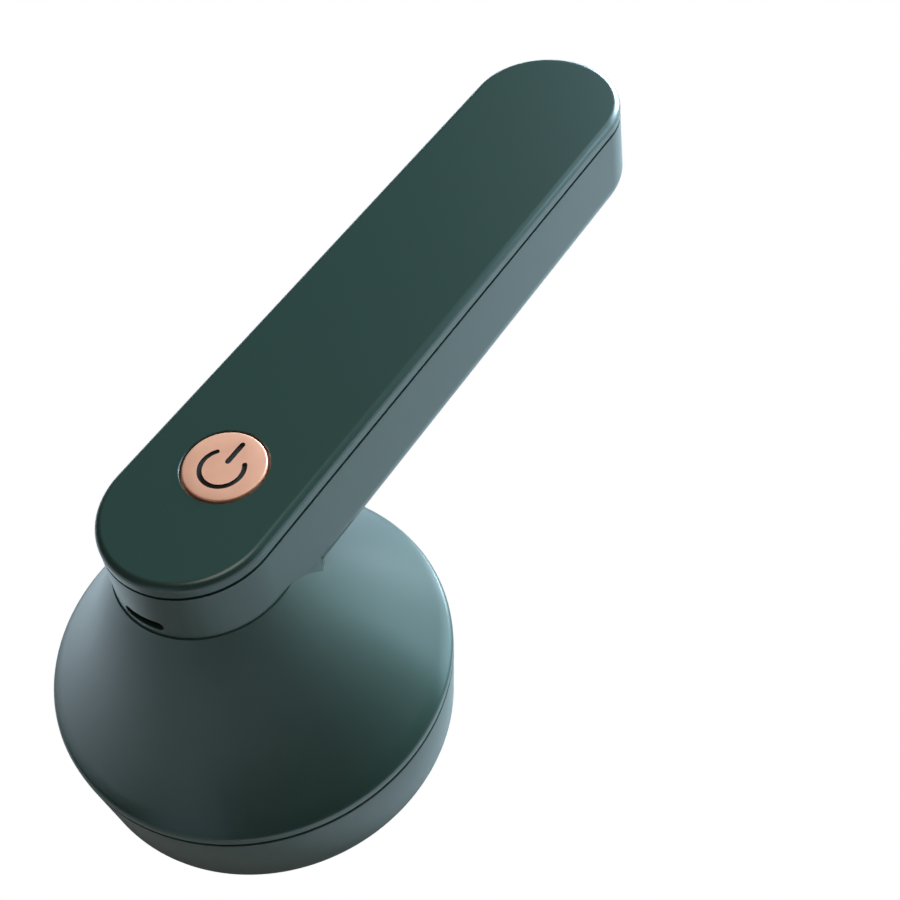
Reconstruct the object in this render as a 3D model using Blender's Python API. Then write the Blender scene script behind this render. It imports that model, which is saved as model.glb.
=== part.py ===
"""Cordless fabric shaver: a bar handle on a conical shaving head.

Metres, +Z up. The origin is the centre of the flat shaving face, the head turns about Z,
and the handle runs along +X, level with the shaving face.
"""

import math

import bmesh
import bpy
from mathutils import Vector

MM = 0.001

# Handle
HANDLE_TOP = 63.5 * MM
HANDLE_BOTTOM = 44.8 * MM
HANDLE_HALF_WIDTH = 14.2 * MM
DRAFT = 0.048
NOSE_X = -2.2 * MM
TAIL_X = 104.6 * MM
HANDLE_FILLET = 5.0 * MM
WALL = 1.5 * MM
COVER_THICKNESS = 1.1 * MM
COVER_DEPTH = 2.6 * MM
COVER_EDGE = 1.3 * MM
PARTING = 0.45 * MM
GAP = 0.3 * MM

# Head
RIM_RADIUS = 35.0 * MM
RIM_BOTTOM = 17.8 * MM
RIM_TOP = 19.2 * MM
FLANK_FOOT = (34.3 * MM, 20.0 * MM)
FLANK_TOP = (14.95 * MM, 50.6 * MM)
FLANK_SAG = 2.2 * MM
SHELL_WALL = 1.8 * MM
ROOF = 1.6 * MM
NECK_RADIUS = 16.6 * MM
LEAN_FROM = 20.0 * MM
LEAN_TO = 48.0 * MM

# Guard and foil
GUARD_TOP = 17.15 * MM
GUARD_TOP_RADIUS = 34.95 * MM
GUARD_FOOT_RADIUS = 33.8 * MM
GUARD_FILLET = 3.0 * MM
GUARD_WALL = 1.5 * MM
FACE_OPENING = 27.6 * MM
FOIL_RADIUS = 26.9 * MM
FOIL_THICKNESS = 0.25 * MM
FOIL_FLANGE_Z = 2.6 * MM
FOIL_FLANGE_RADIUS = 30.2 * MM
RETAINER_RADII = (31.6 * MM, 27.4 * MM)
RETAINER_TOP = 6.5 * MM
NIB_RADII = (31.1 * MM, 33.3 * MM)

# Motor bay
PLATE_BOTTOM = 18.6 * MM
PLATE_TOP = 20.2 * MM
PLATE_RADIUS = 31.6 * MM
SKIRT_OUTER = 32.0 * MM
SKIRT_INNER = 30.5 * MM
SKIRT_BOTTOM = 11.0 * MM
SHELL_SCREW_RADIUS = 27.5 * MM
SHELL_SCREW_AZIMUTHS = (30.0, 150.0, 270.0)
MOTOR_RADIUS = 10.2 * MM
MOTOR_BOTTOM = 22.3 * MM
MOTOR_CAN_TOP = 44.5 * MM
MOTOR_TOP = 47.3 * MM
MOTOR_SCREW_X = 6.4 * MM
SHAFT_RADIUS = 1.0 * MM

# Bayonet, in degrees about Z
TWIST = 25.0
LUG_COUNT = 3
LUG_WIDTH = 8.0
LUG_Z = (13.8 * MM, 15.3 * MM)

# Interlock
PIN_ORBIT = 24.0 * MM
PIN_RADIUS = 1.1 * MM
PIN_BOTTOM = 12.6 * MM
PIN_DROP = 1.2 * MM
PIN_AZIMUTH = 90.0
SWITCH_BOTTOM = 24.0 * MM

# Cutter
BLADE_COUNT = 6
BLADE_TIP = 25.4 * MM
BLADE_ROOT = 6.6 * MM
BLADE_FOOT = 0.58 * MM
CARRIER_Z = (3.0 * MM, 9.0 * MM)
HUB_Z = (6.6 * MM, 16.2 * MM)
SPRING_Z = (9.25 * MM, 14.95 * MM)

# Electronics
BUTTON_X = 6.9 * MM
BUTTON_RADIUS = 6.75 * MM
BUTTON_HOLE = 7.03 * MM
BUTTON_PROUD = 0.2 * MM
BOARD_Z = (54.8 * MM, 56.0 * MM)
BOARD_HALF_WIDTH = 9.5 * MM
BOARD_X = (-4.0 * MM, 12.0 * MM)
BOARD_SCREWS = ((0.5 * MM, -7.0 * MM), (0.5 * MM, 7.0 * MM))
BOARD_RESTS = ((18.6 * MM, -6.0 * MM), (18.6 * MM, 6.0 * MM))
PORT_Z = 52.9 * MM
PORT_HALF = (3.75 * MM, 1.25 * MM)
PORT_DEPTH = 1.9 * MM
SLOT_HALF = (3.7 * MM, 1.0 * MM)
BRIDGE_Z = (50.9 * MM, 52.5 * MM)
BRIDGE_X = (-7.5 * MM, 13.0 * MM)
NECK_SCREWS = tuple((NOSE_X + x * MM, y * MM) for x in (-7.6, 7.8) for y in (-8.6, 8.6))
CELL_RADIUS = 7.05 * MM
CELL_X = (25.0 * MM, 75.0 * MM)
CELL_Z = 54.35 * MM
CELL_RIBS = (33.0 * MM, 67.0 * MM, 92.0 * MM)
WIRE = 0.6 * MM

# Turned facets per round, and the turn that faces a drawn outline along X
FINE = 48
ROUND = 32
SMALL = 12
FACING_X = (math.pi / 2, 0, math.pi / 2)

GREEN = ("green_plastic", (0.036, 0.082, 0.072), 0.42, 0.0)
DARK = ("dark_plastic", (0.02, 0.022, 0.024), 0.5, 0.0)
ROSE = ("rose_gold", (0.80, 0.43, 0.32), 0.3, 0.6)
STEEL = ("steel", (0.62, 0.63, 0.65), 0.28, 1.0)
BLADE_STEEL = ("blade_steel", (0.72, 0.73, 0.75), 0.18, 1.0)
BRASS = ("brass", (0.76, 0.58, 0.27), 0.3, 1.0)
NICKEL = ("nickel_strip", (0.7, 0.69, 0.64), 0.3, 1.0)
BOARD = ("board_laminate", (0.01, 0.12, 0.05), 0.45, 0.0)
SLEEVE = ("cell_sleeve", (0.05, 0.2, 0.5), 0.35, 0.0)
RED_WIRE = ("red_insulation", (0.6, 0.03, 0.02), 0.5, 0.0)
BLACK_WIRE = ("black_insulation", (0.02, 0.02, 0.02), 0.5, 0.0)
WHITE = ("white_plastic", (0.75, 0.74, 0.7), 0.5, 0.0)
COPPER = ("copper_windings", (0.72, 0.32, 0.16), 0.35, 1.0)
FERRITE = ("ferrite", (0.05, 0.05, 0.055), 0.7, 0.0)


def clear_scene():
    for obj in list(bpy.data.objects):
        bpy.data.objects.remove(obj)


def material_of(look):
    name, colour, roughness, metallic = look
    found = bpy.data.materials.get(name)
    if found:
        return found
    made = bpy.data.materials.new(name)
    made.use_nodes = True
    shader = made.node_tree.nodes["Principled BSDF"]
    shader.inputs["Base Color"].default_value = (*colour, 1.0)
    shader.inputs["Roughness"].default_value = roughness
    shader.inputs["Metallic"].default_value = metallic
    return made


def piece(name, bm, look, location=(0, 0, 0), turn=(0, 0, 0), parent=None):
    """A named object from a bmesh, with its faces turned out."""
    bmesh.ops.remove_doubles(bm, verts=bm.verts, dist=1e-7)
    bmesh.ops.recalc_face_normals(bm, faces=bm.faces)
    mesh = bpy.data.meshes.new(name)
    bm.to_mesh(mesh)
    bm.free()
    mesh.shade_smooth()
    mesh.set_sharp_from_angle(angle=math.radians(32))
    obj = bpy.data.objects.new(name, mesh)
    bpy.context.scene.collection.objects.link(obj)
    obj.location = location
    obj.rotation_euler = turn
    obj.parent = parent
    if look:
        mesh.materials.append(material_of(look))
    return obj


def helper(name, bm, location=(0, 0, 0), turn=(0, 0, 0)):
    """A cutter or an added shape: it shapes another object and isn't a piece itself."""
    obj = piece(name, bm, None, location, turn)
    obj.hide_render = True
    obj.display_type = "WIRE"
    return obj


def combine(obj, other, operation):
    modifier = obj.modifiers.new(operation.lower() + "_" + other.name, "BOOLEAN")
    modifier.operation = operation
    modifier.object = other
    modifier.solver = "EXACT"
    return obj


def cut(obj, *others):
    for other in others:
        combine(obj, other, "DIFFERENCE")
    return obj


def join(obj, *others):
    for other in others:
        combine(obj, other, "UNION")
    return obj


def axis_empty(name, location):
    empty = bpy.data.objects.new(name, None)
    bpy.context.scene.collection.objects.link(empty)
    empty.location = location
    empty.empty_display_size = 5 * MM
    return empty


def turned(profile, segments):
    """A solid of revolution about Z. The profile is a closed loop, or ends on the axis at both ends."""
    bm = bmesh.new()
    verts = [bm.verts.new((r, 0, z)) for r, z in profile]
    open_ended = profile[0][0] == 0 and profile[-1][0] == 0
    pairs = list(zip(verts, verts[1:]))
    if not open_ended:
        pairs.append((verts[-1], verts[0]))
    edges = [bm.edges.new(pair) for pair in pairs]
    bmesh.ops.spin(
        bm,
        geom=verts + edges,
        cent=(0, 0, 0),
        axis=(0, 0, 1),
        angle=math.tau,
        steps=segments,
        use_merge=True,
    )
    bmesh.ops.remove_doubles(bm, verts=bm.verts, dist=1e-7)
    return bm


def extruded(outline, low, high):
    """A prism on a flat outline, from one height to another."""
    bm = bmesh.new()
    face = bm.faces.new([bm.verts.new((x, y, low)) for x, y in outline])
    top = bmesh.ops.extrude_face_region(bm, geom=[face])
    raised = [item for item in top["geom"] if isinstance(item, bmesh.types.BMVert)]
    bmesh.ops.translate(bm, verts=raised, vec=(0, 0, high - low))
    bmesh.ops.recalc_face_normals(bm, faces=bm.faces)
    return bm


def rounded(bm, height, radius, segments):
    """Rounds the horizontal edges that lie at one height."""
    edges = [e for e in bm.edges if all(abs(v.co.z - height) < 1e-7 for v in e.verts)]
    bmesh.ops.bevel(
        bm, geom=edges, offset=radius, segments=segments, profile=0.5, affect="EDGES"
    )
    return bm


def arc(centre, radius, start, end, count):
    """Points on an arc, angles in degrees."""
    angles = [math.radians(start + (end - start) * i / count) for i in range(count + 1)]
    return [(centre[0] + radius * math.cos(a), centre[1] + radius * math.sin(a)) for a in angles]


def stadium(front, back, half_width, count=14):
    """A bar outline with half-round ends about front and back on the X axis."""
    tail = arc((back, 0), half_width, -90, 90, count)
    nose = arc((front, 0), half_width, 90, 270, count)
    return tail + nose


def box(low, high):
    corners = [(low[0], low[1]), (high[0], low[1]), (high[0], high[1]), (low[0], high[1])]
    return extruded(corners, low[2], high[2])


def cylinder(radius, low, high, segments=SMALL):
    return turned([(0, high), (radius, high), (radius, low), (0, low)], segments)


def tube(outer, inner, low, high, segments=ROUND):
    return turned([(outer, high), (outer, low), (inner, low), (inner, high)], segments)


def sector(inner, outer, low, high, start, end, count=4):
    """Part of a ring between two azimuths."""
    outline = arc((0, 0), outer, start, end, count) + arc((0, 0), inner, end, start, count)
    return extruded(outline, low, high)


def around(radius, azimuth, height=0.0):
    angle = math.radians(azimuth)
    return (radius * math.cos(angle), radius * math.sin(angle), height)


def screw(name, location, length, shank=0.8 * MM, head=1.7 * MM, upright=True):
    """A pan-head screw. Its head's underside is at the location; upright screws drive down."""
    thick = 1.1 * MM
    slot = 0.5 * MM
    profile = [
        (0, thick - slot),
        (head * 0.4, thick - slot),
        (head * 0.4, thick),
        (head * 0.85, thick),
        (head, 0),
        (shank, 0),
        (shank, -length + shank),
        (0, -length),
    ]
    turn = (0, 0, 0) if upright else (math.pi, 0, 0)
    return piece(name, turned(profile, 10), STEEL, location, turn)


def wire(name, points, radius, look):
    """An insulated lead along a smooth curve through its points."""
    curve = bpy.data.curves.new(name, "CURVE")
    curve.dimensions = "3D"
    curve.bevel_depth = radius
    curve.bevel_resolution = 1
    curve.use_fill_caps = True
    route = smooth_route([Vector(p) * MM for p in points], 5)
    spline = curve.splines.new("POLY")
    spline.points.add(len(route) - 1)
    for target, point in zip(spline.points, route):
        target.co = (*point, 1.0)
    obj = bpy.data.objects.new(name, curve)
    bpy.context.scene.collection.objects.link(obj)
    curve.materials.append(material_of(look))
    return obj


def smooth_route(points, steps):
    """Catmull-Rom points through a route."""
    padded = [points[0] * 2 - points[1], *points, points[-1] * 2 - points[-2]]
    route = []
    for a, b, c, d in zip(padded, padded[1:], padded[2:], padded[3:]):
        for i in range(steps):
            t = i / steps
            route.append(
                0.5 * (2 * b + (c - a) * t + (2 * a - 5 * b + 4 * c - d) * t**2
                       + (3 * b - a - 3 * c + d) * t**3)
            )
    return route + [points[-1]]


def coil(name, radius, thickness, low, high, turns, location, look=STEEL):
    """A compression spring standing on Z, its end turns closed flat."""
    per_turn = 10
    total = turns * per_turn
    rise = high - low - thickness
    up = Vector((0, 0, 1))
    bm = bmesh.new()
    rings = []
    for i in range(total + 1):
        share = min(max((i / total - 0.12) / 0.76, 0.0), 1.0)
        angle = math.tau * i / per_turn
        out = Vector((math.cos(angle), math.sin(angle), 0))
        centre = out * radius + Vector((0, 0, low + thickness / 2 + rise * share))
        section = (out, up, -out, -up)
        rings.append([bm.verts.new(centre + side * thickness / 2) for side in section])
    for first, second in zip(rings, rings[1:]):
        for k in range(4):
            bm.faces.new((first[k], first[(k + 1) % 4], second[(k + 1) % 4], second[k]))
    bm.faces.new(rings[0])
    bm.faces.new(rings[-1])
    return piece(name, bm, look, location)


def lean(bm):
    """Moves the neck forward under the handle's nose, and leaves the rim centred."""
    for vert in bm.verts:
        share = min(max((vert.co.z - LEAN_FROM) / (LEAN_TO - LEAN_FROM), 0.0), 1.0)
        vert.co.x += NOSE_X * share * share * (3 - 2 * share)
    return bm


def flank(offset=0.0, count=5):
    """The cone's slightly hollow side, foot to top, moved out by an offset."""
    control = (
        (FLANK_FOOT[0] + FLANK_TOP[0]) / 2 - FLANK_SAG,
        (FLANK_FOOT[1] + FLANK_TOP[1]) / 2,
    )
    points = []
    for i in range(count + 1):
        t = i / count
        r, z = (
            (1 - t) ** 2 * FLANK_FOOT[k] + 2 * t * (1 - t) * control[k] + t * t * FLANK_TOP[k]
            for k in (0, 1)
        )
        points.append((r + offset, z))
    return points


# ---- handle ----------------------------------------------------------------------------


def handle_cover():
    edge_bottom = HANDLE_TOP - COVER_DEPTH
    under = HANDLE_TOP - COVER_THICKNESS
    outline = stadium(NOSE_X, TAIL_X, HANDLE_HALF_WIDTH)
    plate = rounded(extruded(outline, edge_bottom, HANDLE_TOP), HANDLE_TOP, COVER_EDGE, 3)
    cover = piece("handle_top_cover", plate, GREEN)
    lip_half = HANDLE_HALF_WIDTH - WALL - GAP
    lip = extruded(stadium(NOSE_X, TAIL_X, lip_half, 10), edge_bottom - 1.5 * MM, edge_bottom + 0.2 * MM)
    inside = extruded(stadium(NOSE_X, TAIL_X, lip_half - 1.0 * MM, 10), edge_bottom - 2 * MM, under)
    hole = cylinder(BUTTON_HOLE, edge_bottom, HANDLE_TOP + MM, ROUND)
    join(cover, helper("cover_lip", lip))
    return cut(cover, helper("cover_hollow", inside), helper("button_hole", hole, (BUTTON_X, 0, 0)))


def flare(bm):
    """The moulding draft: widens a bar about the handle's centre line as it gets deeper."""
    for vert in bm.verts:
        middle = min(max(vert.co.x, NOSE_X), TAIL_X)
        scale = 1 + DRAFT * (HANDLE_TOP - COVER_DEPTH - vert.co.z) / HANDLE_HALF_WIDTH
        vert.co.x = middle + (vert.co.x - middle) * scale
        vert.co.y *= scale
    return bm


def housing_body():
    top = HANDLE_TOP - COVER_DEPTH - PARTING
    outline = stadium(NOSE_X, TAIL_X, HANDLE_HALF_WIDTH)
    outer = rounded(extruded(outline, HANDLE_BOTTOM, top), HANDLE_BOTTOM, HANDLE_FILLET, 5)
    body = piece("handle_housing", flare(outer), GREEN)
    neck = helper("neck_block", cylinder(NECK_RADIUS, HANDLE_BOTTOM - 4 * MM, 53 * MM, ROUND))
    inset_outline = stadium(NOSE_X, TAIL_X, HANDLE_HALF_WIDTH - 0.05 * MM)
    footprint = helper("neck_footprint", flare(extruded(inset_outline, HANDLE_BOTTOM - 5 * MM, 54 * MM)))
    combine(neck, footprint, "INTERSECT")
    inner_outline = stadium(NOSE_X, TAIL_X, HANDLE_HALF_WIDTH - WALL, 10)
    floor = HANDLE_BOTTOM + WALL
    cavity = rounded(extruded(inner_outline, floor, top + MM), floor, HANDLE_FILLET - WALL, 3)
    return cut(join(body, neck), helper("handle_cavity", flare(cavity)))


def housing_bridge():
    """The web across the neck that carries the board, and that the head is screwed to."""
    width = HANDLE_HALF_WIDTH - WALL + 0.7 * MM
    low = (BRIDGE_X[0], -width, BRIDGE_Z[0])
    high = (BRIDGE_X[1], width, BRIDGE_Z[1])
    return helper("neck_bridge", box(low, high))


def board_posts():
    """Two short posts on the bridge and two tall ones on the floor."""
    low = cylinder(2.0 * MM, BRIDGE_Z[1] - 0.3 * MM, BOARD_Z[0] - GAP, 12)
    tall = cylinder(2.0 * MM, HANDLE_BOTTOM + WALL - 0.3 * MM, BOARD_Z[0] - GAP, 12)
    posts = []
    for index, (x, y) in enumerate(BOARD_SCREWS):
        posts.append(helper(f"board_post_{index}", low.copy(), (x, y, 0)))
    for index, (x, y) in enumerate(BOARD_RESTS):
        posts.append(helper(f"board_rest_{index}", tall.copy(), (x, y, 0)))
    low.free()
    tall.free()
    return posts


def cell_ribs():
    """Cross ribs on the floor with a cradle for the cell, drawn about the cell's axis."""
    cradle = arc((0, 0), CELL_RADIUS + GAP, 215, 325, 6)
    shoulder = cradle[0][1]
    bottom = HANDLE_BOTTOM + WALL - CELL_Z - 0.3 * MM
    side = HANDLE_HALF_WIDTH - WALL - 3.4 * MM
    points = [(-side, bottom), (side, bottom), (side, shoulder)] + cradle[::-1] + [(-side, shoulder)]
    ribs = []
    for index, x in enumerate(CELL_RIBS):
        bm = extruded(points, -0.6 * MM, 0.6 * MM)
        ribs.append(helper(f"cell_rib_{index}", bm, (x, 0, CELL_Z), FACING_X))
    return ribs


def port_slot():
    outline = stadium(-SLOT_HALF[0] + SLOT_HALF[1], SLOT_HALF[0] - SLOT_HALF[1], SLOT_HALF[1], 8)
    place = (NOSE_X - HANDLE_HALF_WIDTH + MM, 0, PORT_Z)
    return helper("port_slot", extruded(outline, -4 * MM, 4 * MM), place, FACING_X)


def handle_housing():
    body = housing_body()
    clearance = 0.25 * MM
    top = FLANK_TOP[1] + clearance
    profile = [(0, top), (FLANK_TOP[0] + clearance, top)]
    profile += flank(clearance)[:0:-1]
    profile.append((0, FLANK_FOOT[1] + 5 * MM))
    cone = helper("head_clearance", lean(turned(profile, FINE)))
    cut(body, cone)
    join(body, housing_bridge(), *board_posts(), *cell_ribs())
    cut(body, port_slot())
    cut(body, helper("lead_hole_bridge", cylinder(4.5 * MM, BRIDGE_Z[0] - MM, BRIDGE_Z[1] + MM, 20)))
    for index, (x, y) in enumerate(BOARD_SCREWS):
        pilot = cylinder(1.0 * MM, BRIDGE_Z[1] - 0.9 * MM, BOARD_Z[1], SMALL)
        cut(body, helper(f"board_pilot_{index}", pilot, (x, y, 0)))
    for index, (x, y) in enumerate(NECK_SCREWS):
        pilot = cylinder(1.05 * MM, BRIDGE_Z[0] - MM, BRIDGE_Z[1] + MM, SMALL)
        cut(body, helper(f"neck_pilot_{index}", pilot, (x, y, 0)))
    return body


# ---- button and electronics ------------------------------------------------------------


def power_button(axis):
    top = HANDLE_TOP + BUTTON_PROUD
    under = HANDLE_TOP - COVER_THICKNESS - GAP
    profile = [
        (0, top),
        (BUTTON_RADIUS - 0.4 * MM, top),
        (BUTTON_RADIUS - 0.1 * MM, top - 0.1 * MM),
        (BUTTON_RADIUS, top - 0.4 * MM),
        (BUTTON_RADIUS, under),
        (8.2 * MM, under),
        (8.2 * MM, under - 0.7 * MM),
        (2.2 * MM, under - 0.7 * MM),
        (2.2 * MM, 60.3 * MM),
        (0, 60.3 * MM),
    ]
    return piece("power_button", turned(profile, ROUND), ROSE, parent=axis)


def switch_body():
    place = (BUTTON_X, 0, 0)
    case = box((-3 * MM, -3 * MM, 56.2 * MM), (3 * MM, 3 * MM, 59.0 * MM))
    well = cylinder(2.05 * MM, 57.5 * MM, 60 * MM, 16)
    return cut(piece("switch_body", case, DARK, place), helper("switch_well", well, place))


def switch_plunger(axis):
    return piece("switch_plunger", cylinder(1.75 * MM, 58.4 * MM, 60.0 * MM, 16), WHITE, parent=axis)


def control_board():
    outline = stadium(BOARD_X[0], BOARD_X[1], BOARD_HALF_WIDTH, 10)
    board = piece("control_board", extruded(outline, *BOARD_Z), BOARD)
    for index, (x, y) in enumerate(BOARD_SCREWS):
        hole = cylinder(1.15 * MM, BOARD_Z[0] - MM, BOARD_Z[1] + MM, SMALL)
        cut(board, helper(f"board_hole_{index}", hole, (x, y, 0)))
    return board


def port_outline(shrink):
    """A micro-USB mouth: wide at the top, with its lower corners cut away."""
    half_y = PORT_HALF[0] - shrink
    half_z = PORT_HALF[1] - shrink
    corner = 0.9 * MM
    right = [(half_y - corner, -half_z), (half_y, -half_z + corner), (half_y, half_z)]
    return right + [(-y, z) for y, z in reversed(right)]


def charging_socket():
    front = NOSE_X - HANDLE_HALF_WIDTH + PORT_DEPTH
    length = 6.4 * MM
    place = (front, 0, PORT_Z)
    shell = piece("charge_port_shell", extruded(port_outline(0), 0, length), STEEL, place, FACING_X)
    mouth = extruded(port_outline(0.3 * MM), -MM, length - 0.5 * MM)
    cut(shell, helper("port_mouth", mouth, place, FACING_X))
    low = (front + 0.6 * MM, -2.3 * MM, PORT_Z - 0.1 * MM)
    high = (front + 5.6 * MM, 2.3 * MM, PORT_Z + 0.5 * MM)
    piece("charge_port_tongue", box(low, high), DARK)
    return shell


def battery():
    lying = (0, math.pi / 2, 0)
    length = CELL_X[1] - CELL_X[0]
    edge = 0.5 * MM
    cap = 2.7 * MM
    nub = 0.8 * MM
    profile = [
        (0, length),
        (cap, length),
        (cap, length - nub),
        (CELL_RADIUS - edge, length - nub),
        (CELL_RADIUS, length - nub - edge),
        (CELL_RADIUS, edge),
        (CELL_RADIUS - edge, 0),
        (0, 0),
    ]
    piece("battery_cell", turned(profile, 24), SLEEVE, (CELL_X[0], 0, CELL_Z), lying)
    ends = {"battery_tab_negative": CELL_X[0] - 0.5 * MM, "battery_tab_positive": CELL_X[1] + 0.3 * MM}
    half = (3.0 * MM, 3.6 * MM)
    for name, x in ends.items():
        low = (x, -half[0], CELL_Z - half[1])
        high = (x + 0.25 * MM, half[0], CELL_Z + half[1])
        piece(name, box(low, high), NICKEL)


def leads():
    wire(
        "battery_lead_red",
        [(76.3, 0.0, 53.5), (78.2, 4.6, 52.0), (76.0, 9.2, 50.8), (68.5, 10.2, 50.9), (50.0, 10.2, 51.0),
         (30.0, 9.6, 50.6), (23.0, 5.2, 50.2), (18.4, 1.6, 51.2), (16.6, 1.0, 53.0), (15.0, 1.0, 53.9)],
        WIRE,
        RED_WIRE,
    )
    wire(
        "battery_lead_black",
        [(23.6, 0.0, 56.0), (22.4, -2.2, 57.4), (19.6, -3.0, 58.2), (17.0, -3.0, 57.8), (16.2, -3.0, 56.9)],
        WIRE,
        BLACK_WIRE,
    )
    for name, side, look in (("motor_lead_red", 1, RED_WIRE), ("motor_lead_black", -1, BLACK_WIRE)):
        points = [
            (0.0, 2.4 * side, 48.3),
            (0.6, 2.4 * side, 50.4),
            (1.4, 2.2 * side, 52.4),
            (2.0, 2.4 * side, 53.9),
        ]
        wire(name, points, WIRE, look)


def board_screws():
    for index, (x, y) in enumerate(BOARD_SCREWS):
        screw(f"board_screw_{index + 1}", (x, y, BOARD_Z[1] + 0.15 * MM), 4.0 * MM, 0.75 * MM, 1.5 * MM)


# ---- head ------------------------------------------------------------------------------


def head_shell():
    outer = flank()
    roof_bottom = FLANK_TOP[1] - ROOF
    inner = [(r, z) for r, z in flank(-SHELL_WALL) if z < roof_bottom - MM]
    inner_rim = RIM_RADIUS - 1.7 * MM
    roof_radius = FLANK_TOP[0] + 0.7 * MM - SHELL_WALL
    rim = [(RIM_RADIUS - 0.2 * MM, RIM_TOP + 0.35 * MM), (RIM_RADIUS, RIM_TOP), (RIM_RADIUS, RIM_BOTTOM)]
    profile = [(0, FLANK_TOP[1])] + outer[::-1] + rim
    profile += [(inner_rim, RIM_BOTTOM), (inner_rim, RIM_TOP - 0.6 * MM)]
    profile += inner[1:] + [(roof_radius, roof_bottom), (0, roof_bottom)]
    shell = piece("head_shell", lean(turned(profile, FINE)), GREEN)
    for index, azimuth in enumerate(SHELL_SCREW_AZIMUTHS):
        place = around(SHELL_SCREW_RADIUS, azimuth)
        boss = cylinder(2.5 * MM, PLATE_TOP + GAP, 24.6 * MM, SMALL)
        pilot = cylinder(1.3 * MM, PLATE_TOP - MM, 23.6 * MM, SMALL)
        join(shell, helper(f"shell_boss_{index}", boss, place))
        cut(shell, helper(f"shell_pilot_{index}", pilot, place))
    cut(shell, helper("lead_hole_roof", cylinder(5.0 * MM, roof_bottom - MM, FLANK_TOP[1] + MM, 20)))
    for index, (x, y) in enumerate(NECK_SCREWS):
        hole = cylinder(1.25 * MM, roof_bottom - MM, FLANK_TOP[1] + MM, 12)
        cut(shell, helper(f"neck_hole_{index}", hole, (x, y, 0)))
    return shell


def neck_screws():
    under = FLANK_TOP[1] - ROOF - 0.15 * MM
    for index, (x, y) in enumerate(NECK_SCREWS):
        screw(f"neck_screw_{index + 1}", (x, y, under), 3.6 * MM, upright=False)


def bayonet_cutters():
    """An L-shaped track for each lug: a level run with an entry from below at its end."""
    tracks = []
    play = 1.2
    radii = (SKIRT_INNER - MM, SKIRT_OUTER + MM)
    low = LUG_Z[0] - 0.4 * MM
    high = LUG_Z[1] + 0.4 * MM
    for index in range(LUG_COUNT):
        start = 360.0 / LUG_COUNT * index - LUG_WIDTH / 2 - play
        end = start + TWIST + LUG_WIDTH + 2 * play
        entry_start = end - LUG_WIDTH - 2 * play
        run = sector(*radii, low, high, start, end, 5)
        entry = sector(*radii, SKIRT_BOTTOM - MM, low + 0.5 * MM, entry_start, end, 2)
        tracks.append(helper(f"bayonet_run_{index}", run))
        tracks.append(helper(f"bayonet_entry_{index}", entry))
    return tracks


def motor_mount():
    cup_outer, cup_inner = 12.2 * MM, MOTOR_RADIUS + GAP
    profile = [
        (3.3 * MM, MOTOR_BOTTOM - GAP),
        (cup_inner, MOTOR_BOTTOM - GAP),
        (cup_inner, 36.0 * MM),
        (cup_outer, 36.0 * MM),
        (cup_outer, PLATE_TOP),
        (PLATE_RADIUS, PLATE_TOP),
        (SKIRT_OUTER, PLATE_BOTTOM + 0.7 * MM),
        (SKIRT_OUTER, SKIRT_BOTTOM),
        (SKIRT_INNER, SKIRT_BOTTOM),
        (SKIRT_INNER, PLATE_BOTTOM),
        (3.3 * MM, PLATE_BOTTOM),
    ]
    mount = piece("motor_mount", turned(profile, ROUND), DARK)
    cut(mount, *bayonet_cutters())
    for index, azimuth in enumerate(SHELL_SCREW_AZIMUTHS):
        hole = cylinder(1.4 * MM, PLATE_BOTTOM - MM, PLATE_TOP + MM, 12)
        cut(mount, helper(f"mount_hole_{index}", hole, around(SHELL_SCREW_RADIUS, azimuth)))
    for index, side in enumerate((-1, 1)):
        hole = cylinder(1.1 * MM, PLATE_BOTTOM - MM, MOTOR_BOTTOM + MM, 12)
        cut(mount, helper(f"motor_hole_{index}", hole, (side * MOTOR_SCREW_X, 0, 0)))
    pin_hole = cylinder(PIN_RADIUS + 0.25 * MM, PLATE_BOTTOM - MM, PLATE_TOP + MM, 14)
    cut(mount, helper("pin_hole", pin_hole, around(PIN_ORBIT, PIN_AZIMUTH)))
    return mount


def mount_screws():
    for index, azimuth in enumerate(SHELL_SCREW_AZIMUTHS):
        place = around(SHELL_SCREW_RADIUS, azimuth, PLATE_BOTTOM - 0.15 * MM)
        screw(f"mount_screw_{index + 1}", place, 4.6 * MM, 1.0 * MM, 2.0 * MM, upright=False)
    for index, side in enumerate((-1, 1)):
        place = (side * MOTOR_SCREW_X, 0, PLATE_BOTTOM - 0.15 * MM)
        screw(f"motor_screw_{index + 1}", place, 4.3 * MM, upright=False)


# ---- motor -----------------------------------------------------------------------------


def motor_can():
    inner = MOTOR_RADIUS - 0.8 * MM
    floor = MOTOR_BOTTOM + 0.8 * MM
    profile = [
        (3.0 * MM, floor),
        (inner, floor),
        (inner, MOTOR_CAN_TOP),
        (MOTOR_RADIUS, MOTOR_CAN_TOP),
        (MOTOR_RADIUS, MOTOR_BOTTOM + 0.6 * MM),
        (MOTOR_RADIUS - 0.6 * MM, MOTOR_BOTTOM),
        (3.0 * MM, MOTOR_BOTTOM),
    ]
    can = piece("motor_can", turned(profile, ROUND), STEEL)
    for index, side in enumerate((-1, 1)):
        hole = cylinder(1.0 * MM, MOTOR_BOTTOM - MM, floor + MM, 12)
        cut(can, helper(f"can_thread_{index}", hole, (side * MOTOR_SCREW_X, 0, 0)))
    return can


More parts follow.
